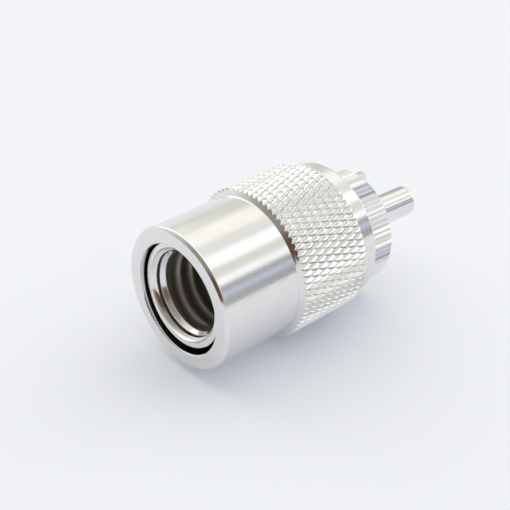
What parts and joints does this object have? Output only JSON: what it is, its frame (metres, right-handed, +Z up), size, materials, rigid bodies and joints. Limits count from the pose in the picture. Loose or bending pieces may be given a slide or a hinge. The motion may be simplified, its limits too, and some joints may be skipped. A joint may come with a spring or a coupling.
{
  "type": "uhf connector",
  "caption": "Solder-type coaxial plug with a loose knurled coupling ring, a serrated flange with locating nibs and a hollow centre pin.",
  "frame": {"origin": "on the surface that the plug lies on, under the middle of its overall box", "axes": "+X along the coupling ring's axis, from the cable end to the centre pin; +Z up"},
  "size_m": [0.0384, 0.019, 0.0189],
  "materials": {
    "ring_nickel": "bright nickel plate over turned brass",
    "body_nickel": "bright nickel plate over turned brass",
    "insulator": "turned phenolic resin",
    "contact_nickel": "bright nickel plate over turned brass"
  },
  "bodies": {
    "plug": {"plug_body": "body_nickel", "insulator": "insulator", "centre_contact": "contact_nickel"},
    "ring": {"coupling_ring": "ring_nickel"}
  },
  "joints": [
    {"name": "ring_spin", "type": "hinge", "parent": "plug", "child": "ring", "pos_m": [-0.01923, 0, 0.00946], "axis": [1, 0, 0], "continuous": true}
  ]
}
